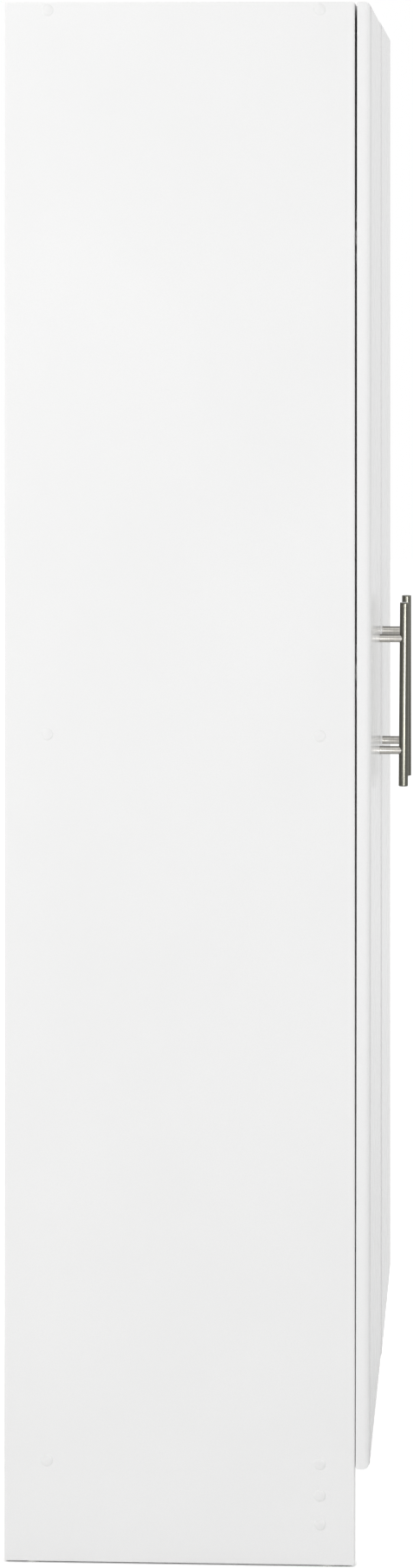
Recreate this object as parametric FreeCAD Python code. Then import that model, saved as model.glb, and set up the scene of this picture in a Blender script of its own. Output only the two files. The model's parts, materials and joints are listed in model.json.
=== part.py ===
import FreeCAD, Part
import os

# Tall two-door broom cupboard. Millimetres, +Z up, front towards -Y, left towards -X.
# The origin is on the floor, at the middle of the box that holds the cupboard and its handles.

os.makedirs("parts", exist_ok=True)
Vector = FreeCAD.Vector

# Carcass
overall_height = 1651.0
overall_width = 813.0
carcass_depth = 371.0
board = 16.0
edge_round = 2.0
kick_height = 100.0
glide_height = 2.0

# Back panels, let into a rebate behind the boards
back_thickness = 3.0
back_recess = 1.0
rebate_width = 8.0
back_margin = 2.0
back_edge_gap = 0.5

# Shelves
shelf_setback = 20.0
shelf_side_gap = 1.0
shelf_rear_gap = 2.0
pin_pitch = 32.0
pin_rows_each_way = 2
pin_setback_front = 60.0
pin_setback_rear = 50.0
pin_hole_radius = 2.5
pin_hole_depth = 9.0
pin_shank_length = 8.5
pin_tongue_length = 9.0
pin_tongue_width = 7.0

# Joint screws through the boards, with a cover cap on each
screw_setback_front = 37.0
screw_setback_rear = 45.0
partition_screw_setback = 90.0
kick_screw_height = 44.5
kick_screw_rise = 30.2
joint_head_radius = 4.8
joint_head_length = 3.5
joint_head_recess = 0.3
joint_shank_radius = 3.5
joint_thread_radius = 2.5
joint_bite = 34.0
socket_radius = 2.2
socket_depth = 2.5
cap_radius = 6.2
cap_rim = 0.35
cap_height = 1.1
cap_top_radius = 1.5
cap_ring_count = 3
cap_stem_radius = 1.7
cap_stem_length = 2.2

# Dowels between the boards
dowel_radius = 4.0
dowel_length = 30.0
dowel_sink = 10.0
kick_dowel_count = 3
kick_dowel_margin = 150.0

# Nails of the back panels
nail_radius = 0.8
nail_length = 20.0
nail_head_radius = 2.2
nail_head_length = 0.8
nail_edge_distance = 4.0
side_nail_count = 7
end_nail_count = 3
nail_end_margin = 70.0

# Glides, bumpers and wall brackets
glide_radius = 7.0
glide_setback = 30.0
glide_nail_radius = 1.2
glide_nail_length = 14.0
bumper_radius = 4.0
bumper_offset = 40.0
bumper_gap = 0.3
bracket_spacing = 560.0
bracket_width = 30.0
bracket_leg = 32.0
bracket_sheet = 2.0
bracket_hole_radius = 2.75
bracket_hole_drop = 20.0
bracket_screw_inset = 20.0
bracket_screw_spread = 16.0
bracket_screw_radius = 1.75
bracket_screw_length = 14.0
bracket_screw_head_radius = 3.2
bracket_screw_head_length = 1.8

# Doors
door_thickness = 15.0
door_gap = 2.0
door_meeting_gap = 3.0
door_bottom_reveal = 3.0
door_front_round = 7.0
door_back_round = 2.0

# Handles
bar_length = 210.0
bar_radius = 5.4
bar_end_chamfer = 0.6
bar_standoff = 28.0
post_radius = 4.7
post_spacing = 128.0
handle_inset = 42.5
handle_screw_radius = 2.0
handle_screw_bite = 12.0
handle_screw_head_radius = 4.0
handle_screw_head_length = 2.0
tapped_hole_spare = 2.0

# Concealed hinges
hinge_end_distance = 249.0
middle_hinge_rise = 64.0
cup_radius = 17.5
cup_wall = 0.8
cup_floor = 0.7
cup_lip = 3.0
cup_door_skin = 3.0
flange_sheet = 1.0
flange_half_height = 30.0
flange_near = 17.0
flange_far = 33.5
flange_corner = 5.0
flange_rim = 2.0
cup_screw_offset = 24.0
cup_screw_beyond_center = 6.0
pivot_inset = 7.0
knuckle_radius = 2.4
knuckle_width = 7.2
knuckle_floor_gap = 0.3
hinge_pin_radius = 1.25
hinge_pin_half_length = 8.4
pin_running_gap = 0.05
lug_gap = 0.5
lug_end = 9.0
lug_reach = 4.0
arm_sheet = 1.8
arm_width = 16.0
arm_side_gap = 2.3
arm_straight = 4.0
arm_joggle = 6.0
arm_tail_end = 60.0
plate_sheet = 2.0
plate_setback = 37.0
plate_wing_half_height = 22.0
plate_wing_half_depth = 8.0
spine_height = 6.0
spine_half_width = 5.0
spine_front = 14.0
spine_rear = 58.0
plate_screw_offset = 16.0
arm_screw_front = 24.0
arm_screw_rear = 50.0
arm_screw_radius = 2.0
arm_screw_bite = 5.0
hinge_screw_radius = 1.7
hinge_screw_bite = 9.5
hinge_screw_head_radius = 3.2
hinge_screw_head_length = 1.7

# Fits
bore_clearance = 0.1
cup_fit = 0.15
saddle_fit = 0.05

# Places worked out from the sizes above
overall_depth = carcass_depth + door_gap + door_thickness + bar_standoff + bar_radius
rear = overall_depth / 2
front = rear - carcass_depth
board_rear = rear - back_recess - back_thickness
door_back = front - door_gap
door_front = door_back - door_thickness
outer_left = -overall_width / 2
inner_left = outer_left + board
inner_right = -inner_left
top_underside = overall_height - board
bottom_top = kick_height + board
shelf_middle = (bottom_top + top_underside) / 2
partition_left = -board / 2
partition_right = board / 2
screw_front = front + screw_setback_front
screw_rear = rear - screw_setback_rear
screw_depths = (screw_front, screw_rear)
door_bottom = kick_height + door_bottom_reveal
door_top = overall_height
door_middle = (door_bottom + door_top) / 2
door_free_edge = -door_meeting_gap / 2
handle_x = door_free_edge - handle_inset
bar_y = door_front - bar_standoff

UP = Vector(0, 0, 1)
DOWN = Vector(0, 0, -1)
LEFT = Vector(-1, 0, 0)
RIGHT = Vector(1, 0, 0)
FORWARD = Vector(0, -1, 0)
BACKWARD = Vector(0, 1, 0)


# Building blocks


def block(x0, x1, y0, y1, z0, z1):
    """A box between two corners."""
    return Part.makeBox(x1 - x0, y1 - y0, z1 - z0, Vector(x0, y0, z0))


def rod(start, direction, radius, length):
    """A round bar from a point along a direction."""
    return Part.makeCylinder(radius, length, start, direction)


def placed(shape, point, direction):
    """A copy of a shape drawn along +Z, turned to a direction and set at a point."""
    copy = shape.copy()
    copy.Placement = FreeCAD.Placement(point, FreeCAD.Rotation(UP, direction))
    return copy


def prism(outline, z0, z1):
    """A flat outline of x, y points drawn up from z0 to z1."""
    points = [Vector(x, y, z0) for x, y in outline]
    wire = Part.makePolygon(points + points[:1])
    return Part.Face(wire).extrude(Vector(0, 0, z1 - z0))


def mirrored(shape):
    """The same piece on the other side of the middle plane."""
    return shape.mirror(Vector(0, 0, 0), RIGHT)


def runs_along(edge, direction):
    """Whether a straight edge lies along a direction."""
    tangent = edge.tangentAt(edge.FirstParameter)
    return tangent.cross(direction).Length < tangent.Length / 10


def rounded_front(shape, radius, directions):
    """Rounds the edges of the face that looks forward, where they lie along the directions."""
    y = shape.BoundBox.YMin
    edges = [edge for edge in shape.Edges if edge.BoundBox.YMax < y + radius / 10]
    chosen = [edge for edge in edges if any(runs_along(edge, way) for way in directions)]
    return shape.makeFillet(radius, chosen)


def rounded_back(shape, radius):
    """Rounds the edges of the face that looks backward."""
    y = shape.BoundBox.YMax
    edges = [edge for edge in shape.Edges if edge.BoundBox.YMin > y - radius / 10]
    return shape.makeFillet(radius, edges)


def largest(shape):
    """The largest solid of a cut shape."""
    return max(shape.Solids, key=lambda solid: solid.Volume)


def bored(shape, bores):
    """Cuts the bores that reach a piece out of it."""
    near = [bore for bore in bores if bore.BoundBox.intersect(shape.BoundBox)]
    return largest(shape.cut(near)) if near else shape


def headed_screw(point, direction, radius, length, head_radius, head_length):
    """A screw whose head sits on a face at the point, with its shank along the direction."""
    head = rod(point, direction * -1, head_radius, head_length)
    return head.fuse(rod(point, direction, radius, length)).removeSplitter()


def screw_bore(point, direction, radius, length):
    """The hole of a headed screw, a little wider and longer than its shank."""
    return rod(point, direction, radius + bore_clearance, length + bore_clearance)


# Joint screws and cover caps


def joint_screw(point, direction):
    """A connecting screw sunk in a face: head, plain shank through one board, thread in the next."""
    head_start = point + direction * joint_head_recess
    head = rod(head_start, direction, joint_head_radius, joint_head_length)
    shank = rod(head_start, direction, joint_shank_radius, board - joint_head_recess)
    thread = rod(point + direction * board, direction, joint_thread_radius, joint_bite)
    socket = rod(head_start, direction, socket_radius, socket_depth)
    return head.fuse([shank, thread]).cut(socket).removeSplitter().Solids[0]


def joint_bore(point, direction):
    """The stepped hole of a connecting screw."""
    head_length = joint_head_recess + joint_head_length
    head = rod(point, direction, joint_head_radius + bore_clearance, head_length)
    shank = rod(point, direction, joint_shank_radius + bore_clearance, board)
    thread_length = board + joint_bite + bore_clearance
    thread = rod(point, direction, joint_thread_radius + bore_clearance, thread_length)
    return head.fuse([shank, thread])


def crown_height(radius):
    """How high a cap stands at a radius: a parabola from the flat top down to the rim."""
    fall = (radius ** 2 - cap_top_radius ** 2) / (cap_radius ** 2 - cap_top_radius ** 2)
    return cap_height - (cap_height - cap_rim) * fall


def cap_form():
    """A cover cap on a stem, seated at z = 0, crowned towards +Z in cone rings."""
    parts = [rod(Vector(0, 0, 0), DOWN, cap_stem_radius, cap_stem_length)]
    radii = evenly(cap_radius, cap_top_radius, cap_ring_count + 1)
    for outer, inner in zip(radii, radii[1:]):
        low = crown_height(outer)
        rise = crown_height(inner) - low
        parts.append(Part.makeCone(outer, inner, rise, Vector(0, 0, low)))
    disc = rod(Vector(0, 0, 0), UP, cap_radius, cap_rim)
    return disc.fuse(parts).removeSplitter().Solids[0]


def side_screw_points(with_shelf):
    """Points on the left side panel's outer face, each behind a cap."""
    heights = [overall_height - board / 2, kick_height + board / 2]
    if with_shelf:
        heights.append(shelf_middle)
    points = [Vector(outer_left, y, z) for z in heights for y in screw_depths]
    for z in (kick_screw_height, kick_screw_height + kick_screw_rise):
        points.append(Vector(outer_left, screw_front, z))
    return points


def across(points):
    """The mirror images of points."""
    return [Vector(-point.x, point.y, point.z) for point in points]


left_joints = [(point, RIGHT) for point in side_screw_points(True)]
right_joints = [(point, LEFT) for point in across(side_screw_points(False))]
shelf_joints = [(Vector(partition_right, y, shelf_middle), LEFT) for y in screw_depths]
foot_joints = [(Vector(0, y, kick_height), UP) for y in (front + partition_screw_setback, screw_rear)]
partition_joints = shelf_joints + foot_joints


def joint_screws(joints):
    return [joint_screw(point, direction) for point, direction in joints]


def caps(joints):
    form = cap_form()
    return [placed(form, point, direction * -1) for point, direction in joints]


# Dowels, nails, glides, bumpers and brackets


def evenly(first, last, count):
    """Count places from first to last with equal steps."""
    step = (last - first) / (count - 1)
    return [first + step * index for index in range(count)]


def dowel_points():
    """Lower ends of the dowels: partition to top panel, and kick plate to bottom panel."""
    rise = dowel_length - dowel_sink
    points = [Vector(0, y, top_underside - rise) for y in screw_depths]
    ends = (inner_left + kick_dowel_margin, inner_right - kick_dowel_margin)
    points += [Vector(x, screw_front, kick_height - rise) for x in evenly(*ends, kick_dowel_count)]
    return points


def wood_dowels():
    return [rod(point, UP, dowel_radius, dowel_length) for point in dowel_points()]


def left_nail_points():
    """Places of the nails on the rear face of the left back panel."""
    side_x = inner_left - nail_edge_distance
    middle_x = -nail_edge_distance
    heights = evenly(bottom_top + nail_end_margin, top_underside - nail_end_margin, side_nail_count)
    places = [(x, z) for x in (side_x, middle_x) for z in heights]
    columns = evenly(inner_left + nail_end_margin, middle_x - nail_end_margin, end_nail_count)
    rows = (kick_height + board / 2, overall_height - board / 2)
    places += [(x, z) for x in columns for z in rows]
    return [Vector(x, rear - back_recess, z) for x, z in places]


nail_points = left_nail_points() + across(left_nail_points())


def back_nails():
    return [
        headed_screw(point, FORWARD, nail_radius, nail_length, nail_head_radius, nail_head_length)
        for point in nail_points
    ]


glide_points = [
    Vector(side * (overall_width - board) / 2, y, 0)
    for side in (-1, 1)
    for y in (front + glide_setback, rear - glide_setback)
]


def floor_glide(point):
    """A low round foot nailed up into a side panel."""
    foot = rod(point, UP, glide_radius, glide_height)
    nail = rod(point, UP, glide_nail_radius, glide_height + glide_nail_length)
    return foot.fuse(nail).removeSplitter()


def door_bumpers():
    """Soft pads on the front edges of the top and bottom panels, just behind the doors."""
    pads = []
    for x in (-bumper_offset, bumper_offset):
        for z in (kick_height + board / 2, overall_height - board / 2):
            pads.append(rod(Vector(x, front, z), FORWARD, bumper_radius, door_gap - bumper_gap))
    return pads


bracket_centers = (-bracket_spacing / 2, bracket_spacing / 2)
wall_hole_height = top_underside - bracket_hole_drop


def bracket_screw_points(x):
    """Screws of a bracket, seen from below, on its upper leg."""
    y = board_rear - bracket_screw_inset
    z = top_underside - bracket_sheet
    return [Vector(x + side * bracket_screw_spread / 2, y, z) for side in (-1, 1)]


def wall_hole(x):
    """The hole for a wall screw, through the bracket and the back panel."""
    start = Vector(x, board_rear - bracket_leg, wall_hole_height)
    return rod(start, BACKWARD, bracket_hole_radius, bracket_leg + back_thickness + back_recess)


def wall_bracket(x):
    """An angle under the top panel and against the back panel."""
    x0 = x - bracket_width / 2
    x1 = x + bracket_width / 2
    upper = block(x0, x1, board_rear - bracket_leg, board_rear, top_underside - bracket_sheet, top_underside)
    lower = block(x0, x1, board_rear - bracket_sheet, board_rear, top_underside - bracket_leg, top_underside)
    holes = [screw_bore(point, UP, bracket_screw_radius, bracket_sheet) for point in bracket_screw_points(x)]
    return upper.fuse(lower).removeSplitter().cut(holes + [wall_hole(x)])


def bracket_screws():
    return [
        headed_screw(
            point,
            UP,
            bracket_screw_radius,
            bracket_screw_length,
            bracket_screw_head_radius,
            bracket_screw_head_length,
        )
        for x in bracket_centers
        for point in bracket_screw_points(x)
    ]


# Shelves and their pins

bays = ((bottom_top, shelf_middle - board / 2), (shelf_middle + board / 2, top_underside))
pin_columns = (front + pin_setback_front, rear - pin_setback_rear)


def pin_row(bay):
    """Height of the pins that carry the loose shelf of a bay."""
    return (bay[0] + bay[1]) / 2


def pin_holes():
    """Rows of holes in the left side panel and in the partition."""
    holes = []
    for bay in bays:
        for step in range(-pin_rows_each_way, pin_rows_each_way + 1):
            for y in pin_columns:
                z = pin_row(bay) + step * pin_pitch
                holes.append(rod(Vector(inner_left, y, z), LEFT, pin_hole_radius, pin_hole_depth))
                holes.append(rod(Vector(partition_left, y, z), RIGHT, pin_hole_radius, pin_hole_depth))
    return holes


def shelf_pin(point, inward):
    """A shelf pin: a round shank in the board and a flat tongue under the shelf."""
    shank = rod(point, inward * -1, pin_hole_radius - bore_clearance, pin_shank_length)
    tip = point + inward * pin_tongue_length
    x0 = min(point.x, tip.x)
    x1 = max(point.x, tip.x)
    half = pin_tongue_width / 2
    z = point.z
    tongue = block(x0, x1, point.y - half, point.y + half, z - pin_hole_radius, z + pin_hole_radius)
    return tongue.fuse(shank).removeSplitter()


def shelf_pins():
    pins = []
    for bay in bays:
        for y in pin_columns:
            pins.append(shelf_pin(Vector(inner_left, y, pin_row(bay)), RIGHT))
            pins.append(shelf_pin(Vector(partition_left, y, pin_row(bay)), LEFT))
    return pins


def loose_shelf(bay):
    """A shelf that rests on four pins in the left bay."""
    x0 = inner_left + shelf_side_gap
    x1 = partition_left - shelf_side_gap
    z = pin_row(bay) + pin_hole_radius
    shelf = block(x0, x1, front + shelf_setback, board_rear - shelf_rear_gap, z, z + board)
    return rounded_front(shelf, edge_round, [RIGHT])


# Hinges, drawn for the left door around height zero

pivot_x = outer_left + pivot_inset
cup_depth = door_thickness - cup_door_skin
cup_bottom = door_back - cup_depth
pivot_y = cup_bottom + cup_floor + knuckle_floor_gap + knuckle_radius
cup_x = outer_left + cup_lip + cup_radius
cup_screw_x = cup_x + cup_screw_beyond_center
flange_back = door_back + flange_sheet
riser_x = inner_left + arm_side_gap
tail_x = inner_left + spine_height
hinge_heights = (
    door_bottom + hinge_end_distance,
    door_middle + middle_hinge_rise,
    door_top - hinge_end_distance,
)


def cup_space(radius, bottom, top):
    """A round space along the cup's axis between two depths."""
    return rod(Vector(cup_x, bottom, 0), BACKWARD, radius, top - bottom)


def cup_flange():
    """The cup's flange on the door's back, kept away from the arm's side of the cup."""
    x0 = outer_left + flange_near
    x1 = outer_left + flange_far
    ears = block(x0, x1, door_back, flange_back, -flange_half_height, flange_half_height)
    corners = [edge for edge in ears.Edges if edge.BoundBox.YLength > flange_sheet / 2]
    ears = ears.makeFillet(flange_corner, corners)
    ring = cup_space(cup_radius + flange_rim, door_back, flange_back)
    reach = cup_radius + flange_rim
    kept_side = block(x0, cup_x + reach, door_back, flange_back, -reach, reach)
    return ears.fuse(ring.common(kept_side))


def cup_lugs():
    """Two lugs inside the cup that hold the hinge pin, one above and one below the arm."""
    lugs = []
    for side in (-1, 1):
        ends = sorted((side * (knuckle_width / 2 + lug_gap), side * lug_end))
        lug = block(
            outer_left + cup_lip,
            pivot_x + lug_reach,
            cup_bottom + cup_floor / 2,
            pivot_y + knuckle_radius,
            ends[0],
            ends[1],
        )
        lugs.append(lug.common(cup_space(cup_radius - cup_wall / 2, cup_bottom, door_back)))
    return lugs


def pin_rod(radius, half_length):
    """A round form along the hinge axis."""
    return rod(Vector(pivot_x, pivot_y, -half_length), UP, radius, 2 * half_length)


def cup_screw_points():
    return [Vector(cup_screw_x, flange_back, side * cup_screw_offset) for side in (-1, 1)]


def hinge_cup():
    """The hinge cup with its flange and its lugs."""
    outside = cup_space(cup_radius, cup_bottom, door_back)
    inside = cup_space(cup_radius - cup_wall, cup_bottom + cup_floor, flange_back)
    shell = outside.fuse(cup_flange()).cut(inside)
    holes = [screw_bore(point, FORWARD, hinge_screw_radius, flange_sheet) for point in cup_screw_points()]
    holes.append(pin_rod(hinge_pin_radius + pin_running_gap, hinge_pin_half_length + bore_clearance))
    return shell.fuse(cup_lugs()).removeSplitter().cut(holes).Solids[0]


def arm_outline():
    """The bent strip of the arm behind its knuckle, from the cup's mouth to the end of its tail."""
    foot_y = pivot_y - knuckle_radius
    bend_y = front + arm_straight
    seat_y = bend_y + arm_joggle
    tail_y = front + arm_tail_end
    inner = [(riser_x, foot_y), (riser_x, bend_y), (tail_x, seat_y), (tail_x, tail_y)]
    outer = [(x + arm_sheet, y) for x, y in reversed(inner)]
    return inner + outer


def arm_screw_points():
    return [Vector(tail_x + arm_sheet, front + v, 0) for v in (arm_screw_front, arm_screw_rear)]


def arm_screw_bores():
    reach = arm_sheet + arm_screw_bite
    return [screw_bore(point, LEFT, arm_screw_radius, reach) for point in arm_screw_points()]


def hinge_arm():
    """The arm: a knuckle round the pin, a narrow neck in the cup and a wide bent tail."""
    half = knuckle_width / 2
    foot_y = pivot_y - knuckle_radius
    knuckle = pin_rod(knuckle_radius, half)
    neck = block(pivot_x, riser_x + arm_sheet, foot_y, foot_y + arm_sheet, -half, half)
    tail = prism(arm_outline(), -arm_width / 2, arm_width / 2)
    bore = pin_rod(hinge_pin_radius + pin_running_gap, half + bore_clearance)
    return knuckle.fuse([neck, tail]).removeSplitter().cut([bore] + arm_screw_bores()).Solids[0]


def plate_screw_points():
    x = inner_left + plate_sheet
    return [Vector(x, front + plate_setback, side * plate_screw_offset) for side in (-1, 1)]


def plate_screw_bores():
    reach = plate_sheet + hinge_screw_bite
    return [screw_bore(point, LEFT, hinge_screw_radius, reach) for point in plate_screw_points()]


def hinge_plate():
    """The mounting plate: wings on the side panel and a spine that carries the arm."""
    middle_y = front + plate_setback
    wings = block(
        inner_left,
        inner_left + plate_sheet,
        middle_y - plate_wing_half_depth,
        middle_y + plate_wing_half_depth,
        -plate_wing_half_height,
        plate_wing_half_height,
    )
    spine = block(
        inner_left,
        tail_x,
        front + spine_front,
        front + spine_rear,
        -spine_half_width,
        spine_half_width,
    )
    return wings.fuse(spine).removeSplitter().cut(plate_screw_bores() + arm_screw_bores()).Solids[0]


def hinge_screw(point, direction, bite):
    """A small screw of the hinge."""
    return headed_screw(
        point, direction, hinge_screw_radius, bite, hinge_screw_head_radius, hinge_screw_head_length
    )


def arm_screw(point):
    """A screw that holds the arm on the spine of its plate."""
    reach = arm_sheet + arm_screw_bite
    return headed_screw(
        point, LEFT, arm_screw_radius, reach, hinge_screw_head_radius, hinge_screw_head_length
    )


def at_hinges(shapes):
    """Copies of hinge pieces at each hinge height."""
    return [shape.translated(Vector(0, 0, z)) for z in hinge_heights for shape in shapes]


cup_screw_bite = flange_sheet + hinge_screw_bite
cup_screw_bores = [
    screw_bore(point, FORWARD, hinge_screw_radius, cup_screw_bite) for point in cup_screw_points()
]


def left_hinge_nodes():
    """The pieces of the left door's hinges, by name."""
    plate_reach = plate_sheet + hinge_screw_bite
    return {
        "hinge_cups": at_hinges([hinge_cup()]),
        "hinge_pins": at_hinges([pin_rod(hinge_pin_radius, hinge_pin_half_length)]),
        "hinge_cup_screws": at_hinges(
            [hinge_screw(point, FORWARD, cup_screw_bite) for point in cup_screw_points()]
        ),
        "hinge_arms": at_hinges([hinge_arm()]),
        "hinge_plates": at_hinges([hinge_plate()]),
        "hinge_plate_screws": at_hinges(
            [hinge_screw(point, LEFT, plate_reach) for point in plate_screw_points()]
        ),
        "hinge_arm_screws": at_hinges([arm_screw(point) for point in arm_screw_points()]),
    }


# Doors and handles

post_heights = (door_middle - post_spacing / 2, door_middle + post_spacing / 2)


def handle_screw_points():
    return [Vector(handle_x, door_back, z) for z in post_heights]


def handle_bar():
    """A round bar with chamfered ends."""
    bar = rod(Vector(handle_x, bar_y, door_middle - bar_length / 2), UP, bar_radius, bar_length)
    ends = [edge for edge in bar.Edges if edge.BoundBox.ZLength < bar_end_chamfer]
    return bar.makeChamfer(bar_end_chamfer, ends)


def handle_posts():
    """Round posts from the door to the bar, saddled to the bar and tapped for a screw."""
    seat_start = Vector(handle_x, bar_y, door_middle - bar_length / 2)
    seat = rod(seat_start, UP, bar_radius + saddle_fit, bar_length)
    tapped_depth = handle_screw_bite + tapped_hole_spare
    posts = []
    for z in post_heights:
        foot = Vector(handle_x, door_front, z)
        post = rod(foot, FORWARD, post_radius, bar_standoff)
        tapped = screw_bore(foot, FORWARD, handle_screw_radius, tapped_depth)
        posts.append(largest(post.cut([seat, tapped])))
    return posts


def handle_screws():
    reach = door_thickness + handle_screw_bite
    return [
        headed_screw(
            point, FORWARD, handle_screw_radius, reach, handle_screw_head_radius, handle_screw_head_length
        )
        for point in handle_screw_points()
    ]


def left_door():
    """A slab door, well rounded in front, with recesses for its hinge cups and holes for screws."""
    slab = block(outer_left, door_free_edge, door_front, door_back, door_bottom, door_top)
    slab = rounded_front(slab, door_front_round, [RIGHT, UP])
    slab = rounded_back(slab, door_back_round)
    cuts = at_hinges([cup_space(cup_radius + cup_fit, cup_bottom, door_back)] + cup_screw_bores)
    for point in handle_screw_points():
        cuts.append(screw_bore(point, FORWARD, handle_screw_radius, door_thickness))
    return bored(slab, cuts)


# Boards


def board_bores():
    """Every hole that fasteners need in the boards of the carcass."""
    joints = left_joints + right_joints + partition_joints
    bores = [joint_bore(point, direction) for point, direction in joints]
    bores += [screw_bore(point, UP, dowel_radius, dowel_length) for point in dowel_points()]
    bores += [screw_bore(point, FORWARD, nail_radius, nail_length) for point in nail_points]
    nail_reach = glide_height + glide_nail_length
    bores += [screw_bore(point, UP, glide_nail_radius, nail_reach) for point in glide_points]
    for x in bracket_centers:
        bores += [
            screw_bore(point, UP, bracket_screw_radius, bracket_screw_length)
            for point in bracket_screw_points(x)
        ]
        bores.append(wall_hole(x))
    plate_bores = at_hinges(plate_screw_bores())
    bores += plate_bores + [mirrored(bore) for bore in plate_bores]
    return bores + pin_holes()


def left_side_panel():
    """A side panel that stands on its glides, rounded in front, with a rebate for the back panel."""
    panel = block(outer_left, inner_left, front, rear, glide_height, overall_height)
    rebate_start = inner_left - rebate_width
    rebate = block(rebate_start, inner_left, board_rear, rear, kick_height, overall_height)
    return rounded_front(panel, edge_round, [RIGHT, UP]).cut(rebate)


def level_board(x0, x1, z):
    """A fixed level board whose underside is at z."""
    level = block(x0, x1, front, board_rear, z, z + board)
    return rounded_front(level, edge_round, [RIGHT])


def kick_plate():
    """The upright board under the bottom panel, in line with its screws."""
    y0 = screw_front - board / 2
    return block(inner_left, inner_right, y0, y0 + board, glide_height, kick_height)


def partition():
    """The upright board between the shelves and the broom space."""
    upright = block(partition_left, partition_right, front, board_rear, bottom_top, top_underside)
    return rounded_front(upright, edge_round, [UP])


def left_back_panel():
    """The thin panel behind the left half, from the rebate to the middle of the partition."""
    x0 = inner_left - rebate_width + back_edge_gap
    return block(
        x0,
        -back_edge_gap,
        board_rear,
        board_rear + back_thickness,
        kick_height + back_margin,
        overall_height - back_margin,
    )


def board_nodes():
    """The boards by name, before their holes."""
    lower_bay, upper_bay = bays
    return {
        "left_side_panel": left_side_panel(),
        "right_side_panel": mirrored(left_side_panel()),
        "top_panel": level_board(inner_left, inner_right, top_underside),
        "bottom_panel": level_board(inner_left, inner_right, kick_height),
        "kick_plate": kick_plate(),
        "partition": partition(),
        "fixed_shelf": level_board(inner_left, partition_left, shelf_middle - board / 2),
        "lower_shelf": loose_shelf(lower_bay),
        "upper_shelf": loose_shelf(upper_bay),
        "left_back_panel": left_back_panel(),
        "right_back_panel": mirrored(left_back_panel()),
    }


# All pieces by name


def carcass_nodes():
    bores = board_bores()
    nodes = {name: [bored(shape, bores)] for name, shape in board_nodes().items()}
    nodes["left_side_screws"] = joint_screws(left_joints)
    nodes["right_side_screws"] = joint_screws(right_joints)
    nodes["partition_screws"] = joint_screws(partition_joints)
    nodes["left_screw_caps"] = caps(left_joints)
    nodes["right_screw_caps"] = caps(right_joints)
    nodes["partition_screw_caps"] = caps(shelf_joints)
    nodes["wood_dowels"] = wood_dowels()
    nodes["back_nails"] = back_nails()
    nodes["shelf_pins"] = shelf_pins()
    nodes["floor_glides"] = [floor_glide(point) for point in glide_points]
    nodes["door_bumpers"] = door_bumpers()
    nodes["wall_brackets"] = [wall_bracket(x) for x in bracket_centers]
    nodes["wall_bracket_screws"] = bracket_screws()
    return nodes


def door_nodes():
    """The left door's pieces and their mirror images for the right door."""
    pieces = {
        "door": [left_door()],
        "handle_bar": [handle_bar()],
        "handle_posts": handle_posts(),
        "handle_screws": handle_screws(),
    }
    pieces.update(left_hinge_nodes())
    nodes = {}
    for name, solids in pieces.items():
        nodes["left_" + name] = solids
        nodes["right_" + name] = [mirrored(solid) for solid in solids]
    return nodes


nodes = carcass_nodes()
nodes.update(door_nodes())
for name, solids in nodes.items():
    shape = solids[0] if len(solids) == 1 else Part.makeCompound(solids)
    shape.exportStep("parts/" + name + ".step")
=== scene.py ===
"""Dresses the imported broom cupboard: smooth doors, handles and small fittings, finishes, light and camera."""

import json
import math
from typing import NamedTuple

import bmesh
import bpy
import numpy as np
from bpy.props import FloatProperty, FloatVectorProperty, IntProperty, PointerProperty
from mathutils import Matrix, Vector

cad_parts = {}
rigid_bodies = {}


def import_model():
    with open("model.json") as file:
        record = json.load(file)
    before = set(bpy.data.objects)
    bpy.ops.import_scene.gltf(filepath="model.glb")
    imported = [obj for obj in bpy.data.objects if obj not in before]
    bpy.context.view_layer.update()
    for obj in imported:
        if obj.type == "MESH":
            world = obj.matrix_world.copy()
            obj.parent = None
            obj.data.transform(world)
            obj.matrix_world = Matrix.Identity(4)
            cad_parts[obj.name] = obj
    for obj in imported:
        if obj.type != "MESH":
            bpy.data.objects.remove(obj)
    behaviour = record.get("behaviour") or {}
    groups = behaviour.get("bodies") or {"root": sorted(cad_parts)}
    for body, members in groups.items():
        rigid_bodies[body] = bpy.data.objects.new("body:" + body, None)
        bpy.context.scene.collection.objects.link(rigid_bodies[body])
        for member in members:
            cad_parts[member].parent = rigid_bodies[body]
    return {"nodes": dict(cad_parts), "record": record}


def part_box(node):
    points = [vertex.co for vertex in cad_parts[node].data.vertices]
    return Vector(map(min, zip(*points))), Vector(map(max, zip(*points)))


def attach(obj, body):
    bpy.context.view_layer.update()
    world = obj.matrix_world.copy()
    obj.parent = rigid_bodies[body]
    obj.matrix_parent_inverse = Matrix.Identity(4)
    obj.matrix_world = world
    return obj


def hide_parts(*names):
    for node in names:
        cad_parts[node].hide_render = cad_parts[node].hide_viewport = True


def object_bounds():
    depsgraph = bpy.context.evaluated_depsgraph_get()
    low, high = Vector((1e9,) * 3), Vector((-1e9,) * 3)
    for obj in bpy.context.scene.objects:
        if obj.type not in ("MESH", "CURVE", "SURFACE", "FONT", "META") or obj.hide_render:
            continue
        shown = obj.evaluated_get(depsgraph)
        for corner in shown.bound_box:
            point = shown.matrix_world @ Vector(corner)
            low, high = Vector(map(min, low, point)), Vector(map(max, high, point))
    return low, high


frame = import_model()
CAD_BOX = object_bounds()

bl_info = {
    "name": "Broom cupboard",
    "version": (1, 0, 0),
    "blender": (4, 5, 0),
    "location": "3D view, sidebar, Cupboard",
    "description": "Builds the smooth pieces, finishes and studio of a two-door broom cupboard",
    "category": "Object",
}

SIDES = ("left", "right")
ALONG_X, ALONG_Y, ALONG_Z = range(3)
SLOT_OF = {row["node"]: row["material_slot"] for row in frame["record"]["subparts"]}

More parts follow.
